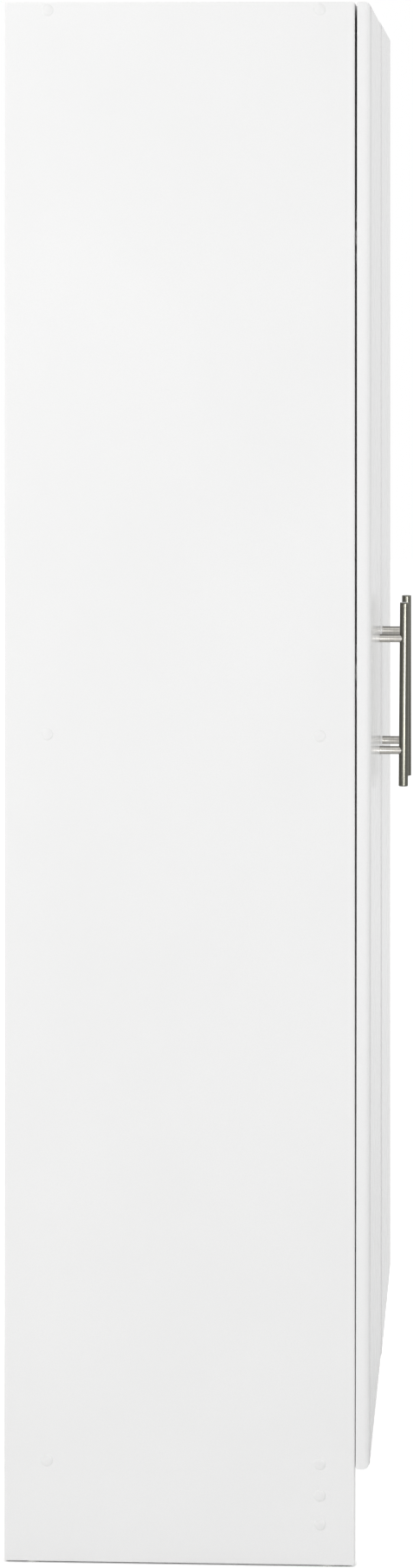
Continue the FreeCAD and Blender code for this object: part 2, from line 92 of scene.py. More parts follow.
# Fineness of the drawn pieces
FRONT_ROUND_POINTS = 17
BACK_ROUND_POINTS = 8
CUP_COLUMNS = 10
CUP_LINES = 11
PLAIN_LINES = 10
BAR_END_POINTS = 6
POST_FOOT_POINTS = 5
DOME_POINTS = 14
FLOOR_LINES = 3
SCREW_ROWS, SCREW_STEPS = 20, 48
NAIL_ROWS, NAIL_STEPS = 8, 24
WELD = 1e-6
CREASE = math.radians(40)

# How the solids of one node are told apart, where a head begins, and the turn from screw to screw
SOLID_GAP = 0.004
POST_GAP = 0.02
HINGE_GAP = 0.05
HEAD_RIM_SHARE = 0.9
GOLDEN_TURN = math.radians(137.5)

# The span of a pattern, or of a facing, that a tone or a sheen is spread over
NOISE_SPAN = (0.3, 0.7)
CLOUD_SPAN = (0.15, 0.4)
STROKE_SPAN = (0.12, 0.42)
SHEEN_SPAN = (0.1, 0.45)
GRAIN_SPAN = (0.12, 0.4)
FIBRE_SPAN = (0.35, 0.65)
CHIP_SPAN = (0.2, 0.8)
FLAKE_SPAN = (0.1, 0.9)
DOOR_EDGE_SPAN = (0.2, 0.9)

# How patterns are stretched, where raw board shows, and other fixed values of the finishes
EVEN = (1, 1, 1)
ROUND_A_BAR = (0.02, 0.02, 1)
ROUND_A_POST = (0.02, 1, 0.02)
FACES_BACK = 0.5
RAW_EDGE_DEPTH = 0.001
FINE_PEEL_SHARE = 0.3
CLEAR_PLASTIC_IOR = 1.46
WHITE = (1.0, 1.0, 1.0, 1.0)
BLACK = (0.0, 0.0, 0.0)

# Directions in the room, the floor painted dark in a gloss, the edge under a panel, the sensor's side in mm
FRONT_RIGHT = (0.707, -0.707, 0.0)
REAR_LEFT = (-0.707, 0.707, 0.0)
HIGH_FAR_SIDE = (0.50, -0.03, 0.866)
HIGH_NEAR_SIDE = (-0.49, 0.05, 0.87)
FRONT = (-0.2, -0.98, 0.0)
FLOOR_SHADE_SPAN = (0.84, 0.97)
FLOOR_SHADE_REACH = (4.0, 6.0)
PANEL_FOOT_BLUR = 0.003
SENSOR_SIDE = 36.0


class RoomSide(NamedTuple):
    """A side of the room as a gloss shows it.

    Its brightness comes in over a span of the cosine between a ray and the way to that side.
    """

    way: tuple
    brightness: float
    span: tuple


class Lamp(NamedTuple):
    """A soft rectangular lamp, which lights the piece, or else shows in its gloss alone."""

    place: tuple
    target: tuple
    size: tuple
    for_gloss: bool = False


ROOM_SIDES = (
    RoomSide(FRONT_RIGHT, brightness=0.50, span=(0.82, 0.96)),
    RoomSide(REAR_LEFT, brightness=0.40, span=(0.82, 0.96)),
    RoomSide(HIGH_FAR_SIDE, brightness=0.25, span=(0.72, 0.82)),
    RoomSide(HIGH_NEAR_SIDE, brightness=1.75, span=(0.90, 0.97)),
    RoomSide(FRONT, brightness=2.40, span=(0.60, 0.90)),
)
LAMPS = {
    "side_lamp": Lamp(place=(-3.6, 1.5, 2.1), target=(-0.4, 0.0, 1.0), size=(2.2, 2.2)),
    "front_lamp": Lamp(place=(0.3, -4.6, 2.8), target=(0.0, -0.2, 0.9), size=(2.2, 2.2)),
    "far_lamp": Lamp(place=(3.6, 0.6, 3.2), target=(0.4, 0.0, 0.9), size=(2.2, 2.2)),
    "low_lamp": Lamp(place=(-4.3, -1.6, 0.36), target=(-0.1, -0.2, 0.6), size=(2.2, 0.46), for_gloss=True),
}


# Settings


def length(name, description, default, least=0.0):
    """A length in metres."""
    return FloatProperty(name=name, description=description, default=default, min=least, unit="LENGTH")


def angle(name, description, default):
    """An angle in radians, which Blender shows in degrees."""
    return FloatProperty(name=name, description=description, default=default, subtype="ANGLE")


def share(name, description, default, least=0.0):
    """A share of up to 1."""
    return FloatProperty(
        name=name, description=description, default=default, min=least, max=1.0, subtype="FACTOR")


def fullness(name, description, default):
    """How square a dome is, where 2 is an ellipse."""
    return FloatProperty(name=name, description=description, default=default, min=2.0)


def colour(name, description, default):
    """A colour in linear light."""
    return FloatVectorProperty(
        name=name, description=description, default=default, size=3, min=0.0, max=1.0, subtype="COLOR")


def power(name, description, default):
    """The power of a lamp in watts."""
    return FloatProperty(name=name, description=description, default=default, min=0.0, unit="POWER")


class CupboardSizes(bpy.types.PropertyGroup):
    """Sizes of the pieces that are drawn here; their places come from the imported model."""

    door_front_round: length("Door front rounding", "Radius round the front of each door", 0.007, 0.001)
    door_back_round: length("Door back rounding", "Radius round the back of each door", 0.002, 0.0005)
    door_hold: length("Door flat border", "Flat border that keeps a rounding crisp", 0.0004, 0.0001)
    door_margin: length("Door margin", "Flat door from the front rounding to the first upright line", 0.002)
    left_bow: length("Left door bow", "Bow of the left door, its height below its upper hinges", 0.0032)
    left_set_back: length("Left door set back", "How far the left door's free edge lies back", 0.0008)
    left_bar_lean: angle("Left bar lean", "Lean of the left bar's foot towards its door", math.radians(0.42))
    right_bow: length("Right door bow", "Bow of the right door, its height below its upper hinges", 0.0)
    right_set_back: length("Right door set back", "How far the right door's free edge lies back", 0.0)
    right_bar_lean: angle("Right bar lean", "Lean of the right bar's foot towards its door", 0.0)
    cup_lip: length("Hinge cup lip", "Door left between its edge and a hinge cup", 0.003, 0.001)
    cup_radius: length("Hinge cup radius", "Radius of a hinge cup", 0.0175, 0.01)
    cup_clearance: length("Hinge cup clearance", "Room round a hinge cup in its recess", 0.00015)
    cup_depth: length("Hinge cup depth", "Depth of a recess in the back of a door", 0.012, 0.005)
    cup_field: length("Hinge cup field", "Half width of the door's back drawn round a cup", 0.024, 0.02)
    bar_end_round: length("Bar end rounding", "Radius round the ends of a handle bar", 0.0006, 0.0001)
    post_foot_round: length("Post foot rounding", "Radius round the foot of a handle post", 0.0004, 0.0001)
    post_sink: length("Post sink", "How far a handle post goes into the bar", 0.0003)
    cap_fullness: fullness("Cap fullness", "How square the dome of a cover cap is", 2.4)
    nail_fullness: fullness("Nail fullness", "How square the head of a nail is", 7.0)
    screw_fullness: fullness("Screw fullness", "How square the head of a screw is", 3.6)
    recess_width: share("Cross width", "Half width of a cross, as a share of its head's radius", 0.15)
    recess_reach: share("Cross reach", "Reach of a cross, as a share of its head's radius", 0.62)
    recess_slope: share("Cross slope", "Width of a cross's walls, as a share of its head's radius", 0.1, 0.01)
    recess_depth: share("Cross depth", "Depth of a cross, as a share of its head's height", 0.6)
    steps_round: IntProperty(
        name="Steps round", description="Points round a turned piece", default=64, min=24)


class CupboardLooks(bpy.types.PropertyGroup):
    """Colours and sheen of the finishes."""

    board: colour("Board white", "Laminate of the carcass", (0.875, 0.875, 0.872))
    board_shade: colour("Board shade", "Faint clouding in the laminate", (0.855, 0.855, 0.852))
    door: colour("Door white", "Laminate of the doors", (0.872, 0.872, 0.870))
    door_shade: colour("Door shade", "Faint clouding in the doors", (0.855, 0.855, 0.853))
    chip: colour("Chip", "Light chips in a raw board edge", (0.55, 0.42, 0.27))
    chip_shade: colour("Chip shade", "Dark chips in a raw board edge", (0.30, 0.20, 0.11))
    hardboard: colour("Hardboard", "Bare back of the back panels", (0.33, 0.20, 0.11))
    hardboard_shade: colour("Hardboard shade", "Dark fibres of the back panels", (0.22, 0.13, 0.07))
    # Bars and posts are one metal: the bars' darker nickel is painted shade, the posts' lighter nickel painted
    # light
    nickel: colour("Nickel", "Brushed handle bars", (0.138, 0.136, 0.116))
    nickel_shade: colour("Nickel shade", "Dark brush lines", (0.124, 0.122, 0.104))
    post_nickel: colour("Post nickel", "Brighter nickel of the handle posts", (0.58, 0.565, 0.53))
    post_nickel_shade: colour("Post nickel shade", "Dark brush lines on the posts", (0.48, 0.465, 0.43))
    hinge: colour("Hinge steel", "Plated hinges", (0.76, 0.755, 0.74))
    hinge_shade: colour("Hinge shade", "Dull patches on the hinges", (0.64, 0.635, 0.62))
    zinc: colour("Zinc", "Screws, nails, pins and brackets", (0.56, 0.57, 0.58))
    zinc_shade: colour("Zinc shade", "Darker grains of the zinc", (0.44, 0.45, 0.47))
    cap: colour("Cap white", "Cover caps", (0.850, 0.850, 0.846))
    cap_shade: colour("Cap shade", "Faint clouding in the caps", (0.830, 0.830, 0.826))
    glide: colour("Glide", "Floor glides", (0.62, 0.62, 0.60))
    glide_shade: colour("Glide shade", "Scuffs on the glides", (0.52, 0.52, 0.50))
    bumper: colour("Bumper", "Soft door pads", (0.93, 0.94, 0.94))
    beech: colour("Beech", "Wood of the dowels", (0.62, 0.44, 0.27))
    beech_shade: colour("Beech shade", "Grain of the dowels", (0.48, 0.31, 0.17))
    laminate_gloss: share("Laminate gloss", "Strength of the gloss on carcass and doors", 0.32)
    board_roughness: share("Board roughness", "Dullness of the carcass", 0.42)
    raw_roughness: share("Raw edge roughness", "Dullness that a raw board edge adds", 0.4)
    door_roughness: share("Door roughness", "Dullness of the doors", 0.18)
    edge_roughness: share("Door edge roughness", "Dullness that the edges of the doors add", 0.3)
    backing_roughness: share("Backing roughness", "Dullness of the painted side of the backs", 0.46)
    bare_roughness: share("Bare backing roughness", "Dullness that the bare side of the backs adds", 0.35)
    nickel_roughness: share("Nickel roughness", "Dullness of the handle bars", 0.14)
    post_roughness: share("Post roughness", "Dullness of the handle posts", 0.30)
    hinge_roughness: share("Hinge roughness", "Dullness of the hinges", 0.41)
    zinc_roughness: share("Zinc roughness", "Dullness of the zinc", 0.39)
    cap_roughness: share("Cap roughness", "Dullness of the cover caps", 0.36)
    glide_roughness: share("Glide roughness", "Dullness of the floor glides", 0.5)
    bumper_roughness: share("Bumper roughness", "Dullness of the door pads", 0.225)
    bumper_clearness: share("Bumper clearness", "How much light goes through the door pads", 0.85)
    beech_roughness: share("Beech roughness", "Dullness of the dowels", 0.625)


class CupboardStudio(bpy.types.PropertyGroup):
    """Camera, floor and light."""

    camera_place: FloatVectorProperty(
        name="Camera place", description="Where the camera stands",
        default=(-4.6429, -0.3050, 1.4241), size=3, subtype="TRANSLATION", unit="LENGTH")
    camera_turn: angle("Camera turn", "Turn of the view from +X towards +Y", math.radians(2.562))
    camera_tilt: angle("Camera tilt", "Tilt of the view above level", math.radians(0.324))
    lens: FloatProperty(
        name="Lens", description="Focal length in mm for a 36 mm long side", default=92.13, min=10.0)
    shift: FloatVectorProperty(
        name="Shift", description="Shift of the frame, in long sides", default=(-0.0675, -0.3764), size=2)
    floor_size: length("Floor size", "Side of the floor", 24.0, 4.0)
    floor: colour("Floor", "Pale floor", (0.80, 0.80, 0.80))
    floor_seen: colour("Floor seen", "Floor as the camera sees it", (0.97, 0.97, 0.97))
    floor_roughness: share("Floor roughness", "Dullness of the floor", 0.9)
    floor_glow: share("Floor white", "White that the floor shows of itself near the piece", 0.42)
    floor_gloss: share("Floor gloss", "White that the floor shows in a gloss near the piece", 0.12)
    floor_haze: share("Floor haze", "White that is added far away", 0.13)
    floor_dim: share("Floor dim", "Light that the front right floor keeps in a gloss", 0.10)
    floor_near: length("Floor near", "Distance at which the haze begins", 2.2)
    floor_far: length("Floor far", "Distance at which the haze is full", 5.0)
    sky: share("Sky", "Strength of the even light all round", 0.64)
    gloss: share("Gloss", "Brightness that a gloss shows of the room", 0.80)
    side_lamp: power("Side lamp", "Power of the lamp on the left, towards the back", 59.0)
    front_lamp: power("Front lamp", "Power of the lamp in front", 42.0)
    far_lamp: power("Far lamp", "Power of the lamp on the right", 28.0)
    low_lamp: power("Low lamp", "Power of the low lamp that shows in a gloss alone", 46.0)


# Points, patches and pieces


def patch(points, closed=False, keep=None):
    """A grid of points as a list, and the corner numbers of its quads, joined round where closed."""
    rows, columns = points.shape[:2]
    strips = columns if closed else columns - 1
    row, column = np.meshgrid(np.arange(rows - 1), np.arange(strips), indexing="ij")
    beside = (column + 1) % columns
    corners = np.stack([row * columns + column, row * columns + beside,
                        (row + 1) * columns + beside, (row + 1) * columns + column], -1)
    chosen = corners if keep is None else corners[keep]
    return points.reshape(-1, 3), chosen.reshape(-1, 4)


def joined(patches):
    """Several patches as one list of points and one of quads."""
    starts = np.cumsum([0] + [len(points) for points, _ in patches[:-1]])
    points = np.concatenate([points for points, _ in patches])
    quads = np.concatenate([corners + start for (_, corners), start in zip(patches, starts)])
    return points, quads


def new_piece(name, patches, body, slot, *nodes, finish=None):
    """Welds patches into one closed mesh that rides on a body and stands for CAD nodes.

    Its finish is the one of its slot, unless another is named.
    """
    points, quads = joined(patches)
    mesh = bpy.data.meshes.new(name)
    mesh.from_pydata(points.tolist(), [], quads.tolist())
    shape = bmesh.new()
    shape.from_mesh(mesh)
    bmesh.ops.remove_doubles(shape, verts=shape.verts, dist=WELD)
    bmesh.ops.recalc_face_normals(shape, faces=shape.faces)
    shape.to_mesh(mesh)
    shape.free()
    mesh.shade_smooth()
    mesh.set_sharp_from_angle(angle=CREASE)
    mesh.materials.append(bpy.data.materials[finish or slot])
    made = bpy.data.objects.new(name, mesh)
    bpy.context.scene.collection.objects.link(made)
    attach(made, body)
    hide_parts(*nodes)


def corners_of(node):
    """The low and high corners of a CAD node."""
    return [np.array(corner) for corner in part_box(node)]


def node_points(node):
    """All points of a CAD node."""
    vertices = frame["nodes"][node].data.vertices
    flat = np.empty(len(vertices) * 3, np.float32)
    vertices.foreach_get("co", flat)
    return flat.reshape(-1, 3).astype(float)


def solids(node, axes, gap=SOLID_GAP):
    """The points of each solid of a node: all its points, parted along each axis where they leave a gap."""
    groups = [node_points(node)]
    for axis in axes:
        parted = []
        for points in groups:
            ordered = points[np.argsort(points[:, axis], kind="stable")]
            breaks = np.flatnonzero(np.diff(ordered[:, axis]) > gap) + 1
            parted.extend(np.split(ordered, breaks))
        groups = parted
    return groups


def solid_boxes(node, axes, gap=SOLID_GAP):
    """The low and high corners of each solid of a node."""
    return [(points.min(0), points.max(0)) for points in solids(node, axes, gap)]


def arc(centre, radius, start, end, count):
    """Points on part of a circle, between two angles in degrees."""
    turn = np.radians(np.linspace(start, end, count))
    return np.stack([centre[0] + radius * np.cos(turn), centre[1] + radius * np.sin(turn)], -1)


def turns(steps):
    """Even angles once round a circle."""
    return np.linspace(0, 2 * np.pi, steps, endpoint=False)


def turned(section, steps):
    """A section of radius and height points carried once round the Z axis."""
    turn = turns(steps)
    ring = np.stack([np.cos(turn), np.sin(turn)], -1)
    flat = section[:, :1, None] * ring
    height = np.broadcast_to(section[:, 1:, None], flat.shape[:2] + (1,))
    return np.concatenate([flat, height], -1)


def spun(points, turn):
    """Points turned about the Z axis."""
    cos, sin = math.cos(turn), math.sin(turn)
    return points @ np.array([[cos, sin, 0], [-sin, cos, 0], [0, 0, 1]])


def stood(points, place, facing):
    """Points drawn along +Z, turned so that +Z looks along facing, and moved to a place."""
    turn = np.array(Vector((0, 0, 1)).rotation_difference(Vector(facing)).to_matrix())
    return points @ turn.T + np.asarray(place)


def dome(radius, height, square, count=DOME_POINTS):
    """A section from the top of a dome to its rim: height falls as the root of one less a power of radius."""
    reach = np.sin(np.linspace(0, np.pi / 2, count))
    return np.stack([radius * reach, height * np.sqrt(1 - reach ** square)], -1)


# Doors


def border(across, up):
    """The border points of a grid of lines, in order: along the foot, up, back along the head, down."""
    foot = np.stack([across[:-1], np.full(len(across) - 1, up[0])], -1)
    far = np.stack([np.full(len(up) - 1, across[-1]), up[:-1]], -1)
    head = np.stack([across[:0:-1], np.full(len(across) - 1, up[-1])], -1)
    near = np.stack([np.full(len(up) - 1, across[0]), up[:0:-1]], -1)
    return np.concatenate([foot, far, head, near])


def drawn_in(flat, depth, inset, low, high):
    """Flat x, z points drawn in from the border of a door by an inset, at a depth behind its front."""
    x = np.clip(flat[..., 0], low[0] + inset, high[0] - inset)
    z = np.clip(flat[..., 1], low[2] + inset, high[2] - inset)
    return np.stack([x, np.broadcast_to(low[1] + depth, x.shape), z], -1)


def door_section(sizes, thickness):
    """Inset and depth of a door's rim: a large quarter round in front, a flat edge, a small one behind."""
    front, back, hold = sizes.door_front_round, sizes.door_back_round, sizes.door_hold
    wide = arc((front, front), front, 270, 180, FRONT_ROUND_POINTS)
    narrow = arc((back, thickness - back), back, 180, 90, BACK_ROUND_POINTS)
    return np.concatenate([
        [(front + hold, 0)], wide, [(0, front + hold), (0, thickness - back - hold)], narrow,
        [(back + hold, thickness)]])


def lines_up(low, high, beside):
    """The heights of a door's lines: close beside each hinge cup, and evenly spread over the rest."""
    stops = [low, *(lines[end] for lines in beside for end in (0, -1)), high]
    between = [np.linspace(start, end, PLAIN_LINES) for start, end in zip(stops[::2], stops[1::2])]
    return np.unique(np.concatenate(between + [lines[1:-1] for lines in beside]))


def door_patches(low, high, heights, sizes):
    """The left door: its rim section carried round its border, its front, and a back with round recesses."""
    section = door_section(sizes, high[1] - low[1])
    back_inset, back_depth = section[-1]
    field = sizes.cup_field
    cup_x = low[0] + sizes.cup_lip + sizes.cup_radius
    first = low[0] + sizes.door_front_round + sizes.door_margin
    across = np.concatenate([[low[0]], np.linspace(first, cup_x + field, CUP_COLUMNS), [high[0]]])
    beside = [np.linspace(z - field, z + field, CUP_LINES) for z in heights]
    up = lines_up(low[2], high[2], beside)
    rim = np.stack([drawn_in(border(across, up), depth, inset, low, high) for inset, depth in section])
    face = np.stack(np.meshgrid(across, up, indexing="ij"), -1)
    front = drawn_in(face, 0.0, section[0][0], low, high)
    back = drawn_in(face, back_depth, back_inset, low, high)
    column, row = np.meshgrid(across[:-1], up[:-1], indexing="ij")
    solid = np.ones(column.shape, bool)
    recesses = []
    for lines in beside:
        solid &= ~((column < across[-2]) & (row >= lines[0]) & (row < lines[-1]))
        ring = drawn_in(border(across[:-1], lines), back_depth, back_inset, low, high)
        recesses.append(patch(recess(ring, cup_x, lines.mean(), sizes), closed=True))
    return [patch(rim, closed=True), patch(front), patch(back, keep=solid)] + recesses


def recess(ring, x, z, sizes):
    """A round recess inside a ring of points: each point drawn to a circle, down its wall, to the middle."""
    middle = np.array([x, ring[0, 1], z])
    sink = np.array([0, sizes.cup_depth, 0])
    way = (ring - middle) / np.linalg.norm(ring - middle, axis=1, keepdims=True)
    mouth = middle + way * (sizes.cup_radius + sizes.cup_clearance)
    return np.stack([ring, mouth, mouth - sink, np.broadcast_to(middle - sink, ring.shape)])


def mirrored(patches):
    """The same patches on the other side of the cupboard's middle plane."""
    return [(points * (-1, 1, 1), quads) for points, quads in patches]


def hinge_heights():
    """Heights of the hinge pins, from the lowest."""
    return [(low[2] + high[2]) / 2 for low, high in solid_boxes("left_hinge_pins", [ALONG_Z], HINGE_GAP)]


def hang(points, side, sizes):
    """How far back the points of a door lie as it hangs.

    The hinge edge bows back below the middle of the upper hinges, and forward above it, by the square of
    the distance as a share of the door's height. The free edge is set back evenly, and across the door the
    one goes over into the other.
    """
    low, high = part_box(f"{side}_door")
    hinge_edge = low.x if side == "left" else high.x
    below = (np.mean(hinge_heights()[1:]) - points[..., 2]) / (high.z - low.z)
    inward = abs(points[..., 0] - hinge_edge) / (high.x - low.x)
    bowed = getattr(sizes, f"{side}_bow") * below * abs(below)
    return bowed * (1 - inward) + getattr(sizes, f"{side}_set_back") * inward


def hung(patches, side, sizes):
    """Patches of a door or its handle, moved to where the door hangs."""
    return [(points + hang(points, side, sizes)[:, None] * (0, 1, 0), quads) for points, quads in patches]


# Handles


def bar_section(radius, height, end_round):
    """Radius and height of a bar: flat ends, a quarter round at each rim and a straight side."""
    inner = radius - end_round
    return np.concatenate([
        [(0, 0), (inner - end_round, 0)],
        arc((inner, end_round), end_round, 270, 360, BAR_END_POINTS),
        [(radius, 2 * end_round), (radius, height - 2 * end_round)],
        arc((inner, height - end_round), end_round, 0, 90, BAR_END_POINTS),
        [(inner - end_round, height), (0, height)]])


def post_points(place, radius, bar_y, bar_radius, sizes):
    """A round post from the door to the bar, with a hollow rounding at its foot.

    Each line along it ends on the bar: the root of the bar's radius squared less the way aside squared.
    """
    turn = turns(sizes.steps_round)
    foot_round = sizes.post_foot_round
    foot = arc((radius + foot_round, -foot_round), foot_round, 90, 180, POST_FOOT_POINTS)
    reach = np.concatenate([[0], foot[:, 0], [radius, 0]])
    x = place[0] + reach[:, None] * np.cos(turn)
    z = place[2] + reach[:, None] * np.sin(turn)
    y = np.repeat(np.concatenate([[0], foot[:, 1], [0, 0]])[:, None], len(turn), 1) + place[1]
    meeting = bar_y + np.sqrt(bar_radius ** 2 - (radius * np.cos(turn)) ** 2) - sizes.post_sink
    y[-2] = meeting
    y[-1] = meeting.mean()
    return np.stack([x, y, z], -1)


def handle_patches(side, sizes):
    """The bar and the posts of a handle; the bar leans by a slope about its upper post, its foot inwards."""
    low, high = corners_of(f"{side}_handle_bar")
    radius = (high[0] - low[0]) / 2
    axis = (low + high) / 2
    posts_at = solid_boxes(f"{side}_handle_posts", [ALONG_Z], POST_GAP)
    upper_post = sum(corner[2] for corner in posts_at[-1]) / 2
    slope = math.tan(getattr(sizes, f"{side}_bar_lean"))
    section = bar_section(radius, high[2] - low[2], sizes.bar_end_round)
    bar = stood(turned(section, sizes.steps_round), (axis[0], axis[1], low[2]), (0, 0, 1))
    bar[..., 1] += slope * (upper_post - bar[..., 2])
    posts = []
    for low, high in posts_at:
        middle = (low + high) / 2
        foot = (middle[0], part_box(f"{side}_door")[0].y, middle[2])
        bar_y = axis[1] + slope * (upper_post - middle[2])
        posts.append(patch(post_points(foot, (high[0] - low[0]) / 2, bar_y, radius, sizes), closed=True))
    return [patch(bar, closed=True)], posts


# Caps, pads, screws and nails


def seated_dome(radius, height, sizes):
    """A dome closed by a flat seat at height 0."""
    section = np.concatenate([dome(radius, height, sizes.cap_fullness), [(0, 0)]])
    return turned(section, sizes.steps_round)


def cap_patches(node, face, sizes):
    """Domes on one face of an upright board, one for each cap of a node."""
    facing = (math.copysign(1, face), 0, 0)
    caps = []
    for low, high in solid_boxes(node, [ALONG_Y, ALONG_Z]):
        height = high[0] - face if face > 0 else face - low[0]
        form = seated_dome((high[2] - low[2]) / 2, height, sizes)
        middle = (low + high) / 2
        caps.append(patch(stood(form, (face, middle[1], middle[2]), facing), closed=True))
    return caps


def pad_patches(sizes):
    """Soft domes on the front of the carcass, pressed to the room that each door leaves as it hangs."""
    pads = []
    for low, high in solid_boxes("door_bumpers", [ALONG_X, ALONG_Z]):
        middle = (low + high) / 2
        side = "left" if middle[0] < 0 else "right"
        room = high[1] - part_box(f"{side}_door")[1].y - hang(middle, side, sizes)
        form = seated_dome((high[0] - low[0]) / 2, min(high[1] - low[1], room), sizes)
        pads.append(patch(stood(form, (middle[0], high[1], middle[2]), (0, -1, 0)), closed=True))
    return pads


def headed(points, facing, square, rows, steps):
    """A screw or nail from the points of its solid: its seat, its head's radius and height, and its form.

    The form is a dome, a flat seat and a straight shank, carried round the way it faces.
    """
    way = np.array(facing)
    middle = (points.min(0) + points.max(0)) / 2
    along = (points - middle) @ way
    aside = np.linalg.norm(points - middle - along[:, None] * way, axis=1)
    radius = aside.max()
    seat = along[aside > HEAD_RIM_SHARE * radius].min()
    height = along.max() - seat
    depth = seat - along.min()
    shank = aside[along < along.min() + WELD].max()
    section = np.concatenate([
        dome(radius, height, square, rows), [(shank, 0), (shank, -depth), (0, -depth)]])
    return middle + seat * way, radius, height, turned(section, steps)


def ramp(value, width):
    """0 below minus half a width, 1 above half a width; between, three squares less two cubes."""
    t = np.clip(value / width + 0.5, 0, 1)
    return t * t * (3 - 2 * t)


def crossed(points, radius, height, sizes):
    """Sinks a cross into a head: the greater of two bars at right angles, each a product of two ramps."""
    x, y = abs(points[..., 0]) / radius, abs(points[..., 1]) / radius
    width, reach, slope = sizes.recess_width, sizes.recess_reach, sizes.recess_slope
    upright = ramp(width - x, slope) * ramp(reach - y, slope)
    level = ramp(width - y, slope) * ramp(reach - x, slope)
    sunk = points.copy()
    depth = height * sizes.recess_depth * np.maximum(upright, level)
    sunk[..., 2] -= np.where(points[..., 2] > 0, depth, 0)
    return sunk


def screw_sets():
    """Each set of screws: its node, the axes that part it, the way its heads face, and its body."""
    sets = [("wall_bracket_screws", [ALONG_X], (0, 0, -1), "carcass")]
    for side, inward in zip(SIDES, (1, -1)):
        sets += [
            (f"{side}_hinge_cup_screws", [ALONG_Z], (0, 1, 0), f"{side}_door"),
            (f"{side}_handle_screws", [ALONG_Z], (0, 1, 0), f"{side}_door"),
            (f"{side}_hinge_plate_screws", [ALONG_Z], (inward, 0, 0), "carcass"),
            (f"{side}_hinge_arm_screws", [ALONG_Y, ALONG_Z], (inward, 0, 0), "carcass")]
    return sets


def screw_patches(node, axes, facing, sizes):
    """The screws of a node, each with its cross turned by the golden angle from the one before."""
    screws = []
    for number, points in enumerate(solids(node, axes)):
        seat, radius, height, form = headed(points, facing, sizes.screw_fullness, SCREW_ROWS, SCREW_STEPS)
        form = spun(crossed(form, radius, height, sizes), number * GOLDEN_TURN)
        screws.append(patch(stood(form, seat, facing), closed=True))
    return screws


def nail_patches(sizes):
    """The nails that hold the back panels, with flat heads to the rear."""
    facing = (0, 1, 0)
    nails = []
    for points in solids("back_nails", [ALONG_X, ALONG_Z]):
        seat, _, _, form = headed(points, facing, sizes.nail_fullness, NAIL_ROWS, NAIL_STEPS)
        nails.append(patch(stood(form, seat, facing), closed=True))
    return nails


# Finishes


class Finish:
    """A material, or the world, in the making: its shader, and short ways to lay a pattern on it."""

    def __init__(self, name, constants, owner=None, shader="Principled BSDF"):
        self.material = owner or bpy.data.materials.new(name)
        self.material.use_nodes = True
        self.tree = self.material.node_tree
        self.shader = self.tree.nodes[shader]
        for socket, value in constants.items():
            self.shader.inputs[socket].default_value = value
        self.source = self.tree.nodes.new("ShaderNodeTexCoord").outputs

    def add(self, kind, inputs, **settings):
        """A node; each input is a value or another node's socket."""
        node = self.tree.nodes.new(kind)
        for name, value in settings.items():
            setattr(node, name, value)
        for socket, value in inputs.items():
            if isinstance(value, bpy.types.NodeSocket):
                self.tree.links.new(value, node.inputs[socket])
            else:
                node.inputs[socket].default_value = value
        return node

    def place(self, stretch=EVEN):
        """The piece's own coordinates, stretched by axis."""
        mapping = self.add("ShaderNodeMapping", {"Vector": self.source["Object"], "Scale": stretch})
        return mapping.outputs[0]

    def noise(self, per_metre, stretch=EVEN, detail=2.0):
        """Cloudy noise, by its grains per metre."""
        inputs = {"Vector": self.place(stretch), "Scale": per_metre, "Detail": detail}
        return self.add("ShaderNodeTexNoise", inputs).outputs["Fac"]

    def cells(self, per_metre, output="Color"):
        """Random cells, by their number per metre."""
        return self.add("ShaderNodeTexVoronoi", {"Vector": self.place(), "Scale": per_metre}).outputs[output]

    def wave(self, axis, scale):
        """Even waves along an axis."""
        inputs = {"Vector": self.place(), "Scale": scale}
        return self.add("ShaderNodeTexWave", inputs, bands_direction=axis).outputs["Fac"]

    def rays(self):
        """What kind of ray is being followed."""
        return self.add("ShaderNodeLightPath", {}).outputs

    def part(self, output, axis):
        """One part of the piece's own coordinates or normals."""
        return self.add("ShaderNodeSeparateXYZ", {0: self.source[output]}).outputs[axis]

    def calc(self, operation, *values):
        """Values put together by one of Blender's operations."""
        return self.add("ShaderNodeMath", dict(enumerate(values)), operation=operation).outputs[0]

    def plus(self, first, second):
        """The sum of two values."""
        return self.calc("ADD", first, second)

    def times(self, first, second):
        """The product of two values."""
        return self.calc("MULTIPLY", first, second)

    def vector(self, operation, *values, output="Vector"):
        """Vectors put together by one of Blender's operations."""
        return self.add("ShaderNodeVectorMath", dict(enumerate(values)), operation=operation).outputs[output]

    def spread(self, value, low, high, start, end):
        """A value from start to end, spread over low to high."""
        return self.add("ShaderNodeMapRange", {
            "Value": value, "From Min": start, "From Max": end, "To Min": low, "To Max": high}).outputs[0]

    def around(self, value, middle, swing, span=NOISE_SPAN):
        """A value within a span, spread from a swing below a middle to the same above it."""
        return self.spread(value, middle - swing, middle + swing, *span)

    def mix(self, factor, first, second):
        """Two colours, or colour sockets, mixed by a factor."""
        first, second = [c if isinstance(c, bpy.types.NodeSocket) else (*c, 1.0) for c in (first, second)]
        return self.add("ShaderNodeMix", {0: factor, 6: first, 7: second}, data_type="RGBA").outputs[2]

    def bump(self, height, depth, strength):
        """A relief of a given depth in metres."""
        inputs = {"Height": height, "Distance": depth, "Strength": strength}
        return self.add("ShaderNodeBump", inputs).outputs[0]

    def link(self, **sockets):
        """Patterns into the shader's sockets."""
        for name, value in sockets.items():
            self.tree.links.new(value, self.shader.inputs[name.replace("_", " ")])
        return self.material


